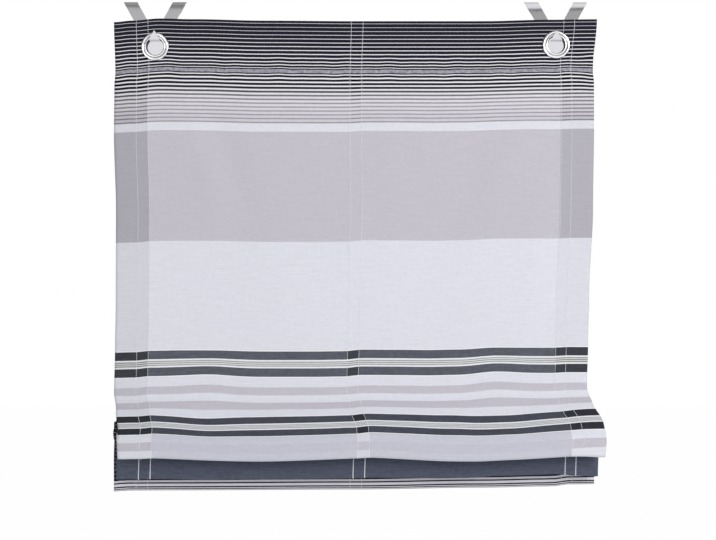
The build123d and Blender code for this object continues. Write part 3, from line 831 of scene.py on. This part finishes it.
def stitch_tree():
    """Geometry nodes that set stitches along every edge line of a mesh."""
    tree = bpy.data.node_groups.new("stitch_lines", "GeometryNodeTree")
    sockets = {}
    for name, kind in (("Lines", "Geometry"), ("Pitch", "Float"), ("Stitch Length", "Float"),
                       ("Thread Width", "Float"), ("Thread", "Material")):
        socket = tree.interface.new_socket(name, in_out="INPUT", socket_type=f"NodeSocket{kind}")
        sockets[name] = socket.identifier
    tree.interface.new_socket("Stitches", in_out="OUTPUT", socket_type="NodeSocketGeometry")
    given = add(tree, "NodeGroupInput").outputs
    curve = add(tree, "GeometryNodeMeshToCurve", {0: given["Lines"]})
    spots = add(tree, "GeometryNodeCurveToPoints", {"Curve": curve.outputs[0], "Length": given["Pitch"]},
                mode="LENGTH")
    bead = add(tree, "GeometryNodeMeshIcoSphere", {"Radius": 0.5, "Subdivisions": 1})
    size = add(tree, "ShaderNodeCombineXYZ", {0: given["Thread Width"], 1: given["Thread Width"],
                                              2: given["Stitch Length"]})
    stitches = add(tree, "GeometryNodeInstanceOnPoints", {"Points": spots.outputs["Points"],
                                                          "Instance": bead.outputs[0],
                                                          "Rotation": spots.outputs["Rotation"],
                                                          "Scale": size.outputs[0]})
    real = add(tree, "GeometryNodeRealizeInstances", {0: stitches.outputs[0]})
    smooth = add(tree, "GeometryNodeSetShadeSmooth", {0: real.outputs[0]})
    dyed = add(tree, "GeometryNodeSetMaterial", {0: smooth.outputs[0], "Material": given["Thread"]})
    add(tree, "NodeGroupOutput", {0: dyed.outputs[0]})
    return tree, sockets


def run_nodes(piece, tree, values):
    """Runs a geometry node tree on a piece and keeps the result as a plain mesh."""
    modifier = piece.modifiers.new(tree.name, "NODES")
    modifier.node_group = tree
    for identifier, value in values.items():
        modifier[identifier] = value
    apply_modifiers(piece)


def line_piece(name, lines):
    """A mesh of edge lines, each a list of points in millimetres."""
    mesh = bpy.data.meshes.new(name)
    edges, start = [], 0
    for line in lines:
        edges += [(start + k, start + k + 1) for k in range(len(line) - 1)]
        start += len(line)
    mesh.from_pydata((np.concatenate(lines) * MM).tolist(), edges, [])
    return new_object(name, mesh)


def sewn(x, rows, behind):
    """Stretches of one sewn line, which stops at the eyelets."""
    line = on_cloth(x, rows, np.full(len(x), behind))
    clear = clear_of_eyelets(line)
    stretches = np.split(np.arange(len(line)), np.flatnonzero(np.diff(clear)) + 1)
    return [line[stretch] for stretch in stretches if clear[stretch].all() and len(stretch) > 1]


front_rows = np.flatnonzero((along > SEWN_START) & (along < SEWN_END))
back_rows = np.flatnonzero((along > TAPE_START + BACK_INSET) & (along < TAPE_END - BACK_INSET))
slate_rows = np.flatnonzero((along > SLATE_START) & (along < SLATE_END))
in_front = -(CLOTH_WALL / 2 + THREAD_LIFT)
seam_x = np.arange(SEAM_STEP - HALF_WIDTH, HALF_WIDTH - SEAM_STEP + 1, SEAM_STEP)
lines = []
for side, tape_x in TAPES.items():
    behind = tape_behind[side] + TAPE_WALL / 2 + THREAD_LIFT
    for offset in PAIRS[side]:
        for shift in (-SLATE_SHIFT, SLATE_SHIFT):
            lines += sewn(np.full(len(slate_rows), tape_x + offset + shift), slate_rows, in_front)
        lines += sewn(np.full(len(front_rows), tape_x + offset), front_rows, in_front)
        lines += sewn(np.full(len(back_rows), tape_x + offset), back_rows, behind)
for place_along in SEAMS_ACROSS:
    row = int(np.argmin(np.abs(along - place_along)))
    lines += sewn(seam_x, np.full(len(seam_x), row), in_front)
stitches = line_piece("white_stitches", lines)
tree, sockets = stitch_tree()
run_nodes(stitches, tree, {sockets["Pitch"]: STITCH_PITCH * MM,
                           sockets["Stitch Length"]: STITCH_LENGTH * MM,
                           sockets["Thread Width"]: THREAD_WIDTH * MM, sockets["Thread"]: thread_finish})
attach(stitches, "root")
print("stitches:", len(stitches.data.polygons) // BEAD_FACES)

# %% [markdown]
# ## Tape rings
# A small clear-white plastic ring is sewn to each tape at every drawing point. The rings lie flat so
# that a cord can pass straight up through them. The CAD rings give their places; each is moved as the
# cloth beside it is, and drawn as a true round ring.

# %% Tape rings
RING_RADIUS, RING_WIRE = 5.5, 1.0
RING_CLOUDS = 6

ring_finish = clouded_material("white_acetal", "#DFE1E4", "#F1F2F3", RING_CLOUDS, 2.0, Roughness=0.28,
                               IOR=1.48, Subsurface_Weight=0.15, Subsurface_Scale=MM,
                               Subsurface_Radius=(1.0, 1.0, 1.0))


def ring_mesh(centre, around=28, section=10):
    """Points and quads of a flat-lying ring."""
    turn, roll = np.meshgrid(np.arange(around) * 2 * np.pi / around,
                             np.arange(section) * 2 * np.pi / section, indexing="ij")
    reach = RING_RADIUS + RING_WIRE * np.cos(roll)
    points = np.stack([reach * np.cos(turn), reach * np.sin(turn), RING_WIRE * np.sin(roll)], -1)
    points = points.reshape(-1, 3) + centre
    quads = []
    for i in range(around):
        for j in range(section):
            ahead, up = (i + 1) % around, (j + 1) % section
            quads.append((i * section + j, ahead * section + j, ahead * section + up, i * section + up))
    return points, quads


def ring_centres(node):
    """Centres of a CAD node's rings, from the heights of its points."""
    places = np.array([p.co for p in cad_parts[node].data.vertices]) / MM
    heights = np.sort(places[:, 2])
    cuts = heights[1:][np.diff(heights) > 2 * RING_WIRE]
    groups = np.searchsorted(cuts, places[:, 2], side="right")
    return [(places[groups == k].max(0) + places[groups == k].min(0)) / 2 for k in range(len(cuts) + 1)]


ring_count = 0
for side, tape_x in TAPES.items():
    points, quads = [], []
    cloth_line = draped(np.full(len(run), tape_x), rows)
    for centre in ring_centres(f"{side}_tape_rings"):
        gaps = np.hypot(run[:, 0] + RING_RADIUS + RING_WIRE - centre[1], run[:, 1] - centre[2])
        gaps[along < 0] = np.inf
        row = int(np.argmin(gaps))
        moved = centre + cloth_line[row] - np.array([tape_x, run[row, 0], run[row, 1]])
        ring_points, ring_quads = ring_mesh(moved)
        quads += [tuple(k + len(points) for k in quad) for quad in ring_quads]
        points += list(ring_points)
        ring_count += 1
    ring = new_piece(f"{side}_rings", points, quads, ring_finish)
    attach(ring, "root")
    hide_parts(f"{side}_tape_rings")
print("rings:", ring_count)

# %% [markdown]
# ## Eyelets
# An eyelet is pressed from thin sheet in two halves: a face with a rolled collar, a groove and an
# outer bead, whose neck goes through the header, and a ring that the neck is turned over behind. Such
# a shape is round, so it is turned from a profile, with enough steps to look smooth close up.

# %% Eyelets
PANEL_FRONT = -7.65
EYELET_REAR = -1.3
HEADER_REAR = -3.5

# Radius and height above the cloth, from the bore outwards
FACE_PROFILE = [(14.6, 1.9), (14.75, 2.5), (15.3, 2.85), (16.2, 2.9), (16.9, 2.6), (17.4, 1.9), (18.0, 1.5),
                (18.6, 1.9), (19.1, 2.6), (19.8, 2.95), (21.3, 2.98), (22.1, 2.65), (22.7, 1.9), (23.0, 1.0),
                (22.9, 0.0)]
BACK_PROFILE = [(15.05, 0.0), (15.05, 2.0), (15.3, 2.2), (17.8, 2.2), (19.6, 1.9), (21.2, 1.4),
                (22.0, 0.7), (22.0, 0.0)]
NECK_RADIUS, NECK_REAR_RADIUS = 15.0, 13.6
MARK_WIDTH, MARK_LENGTH = 0.8, 14
MARK_LOW, MARK_HIGH = 0.3, 0.7
CORNER_ANGLE = np.radians(50)


def make_plate_finish(name, hex_colour, roughness, scratch, relief=0.05):
    """Nickel plate over pressed sheet: bright, with the faint drag marks of the press."""
    material, tree, shader = new_material(name, Metallic=1.0, Base_Color=linear(hex_colour))
    place = add(tree, "ShaderNodeTexCoord")
    stretch = add(tree, "ShaderNodeMapping", {"Vector": place.outputs["Object"],
                                              "Scale": (1 / (MARK_WIDTH * MM), 1 / (MARK_WIDTH * MM),
                                                        1 / (MARK_LENGTH * MM))})
    marks = add(tree, "ShaderNodeTexNoise", {"Vector": stretch.outputs[0], "Scale": 1.0, "Detail": 4.0})
    rough = add(tree, "ShaderNodeMapRange", {0: marks.outputs[0], 1: MARK_LOW, 2: MARK_HIGH,
                                             3: roughness - scratch, 4: roughness + scratch})
    tree.links.new(rough.outputs[0], shader.inputs["Roughness"])
    bump = add(tree, "ShaderNodeBump", {"Strength": 0.08, "Distance": relief * MM,
                                        "Height": marks.outputs[0]})
    tree.links.new(bump.outputs[0], shader.inputs["Normal"])
    return material


def turned(name, profile, centres, finish, other_finishes=(), around=96):
    """A closed piece turned from a profile of radius and y; some of its runs may differ in finish."""
    points, quads = [], []
    count = len(profile)
    for x, z in centres:
        first = len(points)
        for step in range(around):
            angle = 2 * np.pi * step / around
            points += [(x + r * np.cos(angle), y, z + r * np.sin(angle)) for r, y in profile]
        for step in range(around):
            here, ahead = first + step * count, first + (step + 1) % around * count
            quads += [(here + k, here + (k + 1) % count, ahead + (k + 1) % count, ahead + k)
                      for k in range(count)]
    piece = new_piece(name, points, quads, finish)
    for slot, (other_finish, runs) in enumerate(other_finishes, start=1):
        piece.data.materials.append(other_finish)
        for face in piece.data.polygons:
            if face.index % count in runs:
                face.material_index = slot
    made = bmesh.new()
    made.from_mesh(piece.data)
    bmesh.ops.recalc_face_normals(made, faces=made.faces)
    made.to_mesh(piece.data)
    made.free()
    piece.data.set_sharp_from_angle(angle=CORNER_ANGLE)
    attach(piece, "root")
    return piece


eyelet_finish = make_plate_finish("satin_nickel_plate", "#F4F4F6", 0.15, 0.04)
# Painted shade: the groove is a darker grey for the shade in it, and also rougher
groove_shade_finish = make_plate_finish("dulled_nickel_painted_shade", "#A6A6AC", 0.4, 0.08)
# Painted shade: the bore is near black for the shade inside the hole
bore_shade_finish = make_plate_finish("bore_painted_shade", "#56565B", 0.6, 0.1)
face = [(r, PANEL_FRONT - h) for r, h in FACE_PROFILE]
neck = [(NECK_RADIUS, PANEL_FRONT), (NECK_RADIUS, EYELET_REAR), (NECK_REAR_RADIUS, EYELET_REAR)]
# The bore and the inner side of its lip are painted near black, and the groove a darker grey, as painted
# shade; the groove is also rougher
bore_runs = (len(face + neck) - 1, 0, 1)
groove_runs = (5, 6)
eyelet_faces = turned("eyelet_faces", face + neck, eyelet_centres, eyelet_finish,
                      [(bore_shade_finish, bore_runs), (groove_shade_finish, groove_runs)])
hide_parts("eyelet_fronts")
back = [(r, HEADER_REAR + h) for r, h in BACK_PROFILE]
eyelet_rings = turned("eyelet_rings", back, eyelet_centres, eyelet_finish)
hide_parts("eyelet_backs")
print("eyelets:", len(eyelet_centres))

# %% [markdown]
# ## Sash hooks
# Each hook is cut and bent from one strip of nickel-plated sheet. The CAD model already has its true
# shape, so a copy is merged and its cut edges are softened by a small bevel. The bevel gets a near black
# finish of its own: the darker steel of a cut edge, and painted shadow that draws the dark outline round
# the arms and the tongue.

# %% Sash hooks
hook_finish = make_plate_finish("bright_nickel_plate", "#DEDEE2", 0.02, 0.006, 0.004)
# Painted shadow: the bevel is near black, for the cut steel and the shadow lines along the edges
edge_shadow_finish = make_plate_finish("cut_steel_edge_painted_shadow", "#34343A", 0.5, 0.08)
HOOK_EDGE = 0.42
MERGE_DISTANCE = 0.001
FLAT_ANGLE, SMOOTH_ANGLE, EDGE_ANGLE = np.radians((0.5, 35, 40))


def soften(node, name, finish, width, bevel_finish):
    """A copy of a CAD node with its points merged and its sharp edges bevelled."""
    made = bmesh.new()
    made.from_mesh(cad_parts[node].data)
    bmesh.ops.remove_doubles(made, verts=made.verts, dist=MERGE_DISTANCE * MM)
    bmesh.ops.dissolve_limit(made, angle_limit=FLAT_ANGLE, verts=made.verts, edges=made.edges)
    mesh = bpy.data.meshes.new(name)
    made.to_mesh(mesh)
    made.free()
    mesh.materials.clear()
    mesh.materials.append(finish)
    mesh.materials.append(bevel_finish)
    mesh.polygons.foreach_set("use_smooth", [True] * len(mesh.polygons))
    mesh.set_sharp_from_angle(angle=SMOOTH_ANGLE)
    piece = new_object(name, mesh)
    bevel = piece.modifiers.new("soft_edges", "BEVEL")
    bevel.width = width * MM
    bevel.segments = 2
    bevel.limit_method = "ANGLE"
    bevel.angle_limit = EDGE_ANGLE
    bevel.material = 1
    # Normals weighted by area keep the flat faces flat, so that the metal mirrors without a bend
    flat = piece.modifiers.new("flat_faces", "WEIGHTED_NORMAL")
    flat.mode = "FACE_AREA"
    flat.weight = 100
    flat.keep_sharp = True
    apply_modifiers(piece)
    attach(piece, "root")
    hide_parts(node)
    return piece


for side in ("left", "right"):
    hook = soften(f"{side}_sash_hook", f"{side}_hook", hook_finish, HOOK_EDGE, edge_shadow_finish)
print("hooks: 2")

# %% [markdown]
# ## Weight bar and header stiffener
# Both are shut inside their hems. The bar follows the tilt of the bottom edge, and the stiffener keeps
# its CAD shape. They still get their own finish: rolled aluminium and a stiff woven strip.

# %% Inner pieces
BAR_HALF, BAR_EDGE = 375.0, 0.2
FIBRE_SIZE = 2.5

bar_finish = make_plate_finish("rolled_aluminium", "#C9CACC", 0.42, 0.08)
stiffener_finish = clouded_material("stiff_interlining", "#CFCFCB", "#E6E6E2", FIBRE_SIZE, 5.0,
                                    Roughness=0.95, Specular_IOR_Level=0.15)
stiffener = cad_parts["header_stiffener"]
stiffener.data.materials.clear()
stiffener.data.materials.append(stiffener_finish)
bar = soften("weight_bar", "weight_rod", bar_finish, BAR_EDGE, bar_finish)
bar_ends = np.array([-BAR_HALF, BAR_HALF])
end_heights = eased(bar_ends, BOTTOM_LINE)
for point in bar.data.vertices:
    point.co.z += float(np.interp(point.co.x / MM, bar_ends, end_heights)) * MM
print("inner pieces: weight_rod and", stiffener.name)

# %% [markdown]
# ## Stage and light
# The blind hangs in front of white. The floor and the world are white to the camera, while a dimmer
# world and two large soft lamps light the cloth, the stronger one from the upper right, so that the
# left hem is a shade darker, and the cloth's colour adds a painted shade on that hem. Bright metal looks
# like what stands round it, and in an all white studio it would vanish. So its reflections show a studio
# with white walls, darker at the sides and above, and a grey rail along the front wall. On the left the
# wall above the rail is dark, on the right it is white behind a dark edge, and the arms of the hooks
# mirror this as two tones.

# %% Stage and light
FLOOR_Z = -1250.0
FLOOR_SIZE = 12000.0
LAMP_TARGET = (0, 0, -420)
# Place, size and power in watts
LAMPS = {"key_lamp": ((1900, -2300, 500), 1400, 39), "fill_lamp": ((-1600, -2400, -300), 1600, 11)}

WORLD_LEVEL = 0.60
FLOOR_GLOW = 0.98
# What reflections show of the walls, upwards: the sine of the angle above the level where a band
# starts, and its brightness on the left and on the right
WALL_BANDS = [(0.1665, 0.58, 0.47), (0.1763, 0.58, 0.12), (0.1779, 0.27, 1.0), (0.2, 0.45, 1.0),
              (0.45, 0.38, 0.8)]
BAND_EDGE = 0.0004
# Where the side walls start and are full, as the sine of the angle from the middle, and their brightness
SIDE_START, SIDE_FULL, SIDE_LEVEL = 0.35, 0.50, 0.15


def seen_rays(tree):
    """One for a ray that the camera, a mirror or a clear surface sees, nought for one that lights."""
    rays = add(tree, "ShaderNodeLightPath").outputs
    seen = add(tree, "ShaderNodeMath", {0: rays["Is Camera Ray"], 1: rays["Is Glossy Ray"]},
               operation="MAXIMUM").outputs[0]
    return add(tree, "ShaderNodeMath", {0: seen, 1: rays["Is Transmission Ray"]},
               operation="MAXIMUM").outputs[0]


def studio_walls(tree):
    """Brightness of the studio's walls in the direction of a ray."""
    way = add(tree, "ShaderNodeTexCoord").outputs["Generated"]
    way = add(tree, "ShaderNodeSeparateXYZ", {0: way}).outputs
    right = add(tree, "ShaderNodeMath", {0: way["X"], 1: 0.0}, operation="GREATER_THAN").outputs[0]
    level = 1.0
    for start, left_level, right_level in WALL_BANDS:
        band = add(tree, "ShaderNodeMix", {0: right, 2: left_level, 3: right_level}).outputs[0]
        past = add(tree, "ShaderNodeMapRange", {0: way["Z"], 1: start - BAND_EDGE,
                                                2: start + BAND_EDGE}).outputs[0]
        level = add(tree, "ShaderNodeMix", {0: past, 2: level, 3: band}).outputs[0]
    aside = add(tree, "ShaderNodeMath", {0: way["X"]}, operation="ABSOLUTE").outputs[0]
    aside = add(tree, "ShaderNodeMapRange", {0: aside, 1: SIDE_START, 2: SIDE_FULL}).outputs[0]
    return add(tree, "ShaderNodeMix", {0: aside, 2: level, 3: SIDE_LEVEL}).outputs[0]


world = bpy.data.worlds.new("studio")
scene.world = world
world.use_nodes = True
tree = world.node_tree
rays = add(tree, "ShaderNodeLightPath").outputs
mirrored = add(tree, "ShaderNodeMix", {0: rays["Is Glossy Ray"], 2: 1.0, 3: studio_walls(tree)}).outputs[0]
level = add(tree, "ShaderNodeMix", {0: seen_rays(tree), 2: WORLD_LEVEL, 3: mirrored}).outputs[0]
background = tree.nodes["Background"]
background.inputs["Color"].default_value = (1, 1, 1, 1)
tree.links.new(level, background.inputs["Strength"])

floor_finish, tree, shader = new_material("white_floor", Base_Color=linear("#F4F4F2"), Roughness=0.9)
white = add(tree, "ShaderNodeEmission", {"Color": (1, 1, 1, 1), "Strength": 1.0})
glow = add(tree, "ShaderNodeMath", {0: seen_rays(tree), 1: FLOOR_GLOW}, operation="MULTIPLY").outputs[0]
mix = add(tree, "ShaderNodeMixShader", {0: glow, 1: shader.outputs[0], 2: white.outputs[0]})
tree.links.new(mix.outputs[0], tree.nodes["Material Output"].inputs["Surface"])
half = FLOOR_SIZE / 2
corners = [(-half, -half, FLOOR_Z), (half, -half, FLOOR_Z), (half, half, FLOOR_Z), (-half, half, FLOOR_Z)]
floor = new_piece("floor", corners, [(0, 1, 2, 3)], floor_finish)


def soft_lamp(name, place, size, power):
    """A square area lamp that faces the blind."""
    data = bpy.data.lights.new(name, "AREA")
    data.size = size * MM
    data.energy = power
    lamp = new_object(name, data)
    lamp.location = Vector(place) * MM
    lamp.rotation_euler = (Vector(LAMP_TARGET) - Vector(place)).to_track_quat("-Z", "Y").to_euler()


for name, (place, size, power) in LAMPS.items():
    soft_lamp(name, place, size, power)
print("lamps:", ", ".join(LAMPS))

# %% Update the scene
bpy.context.view_layer.update()
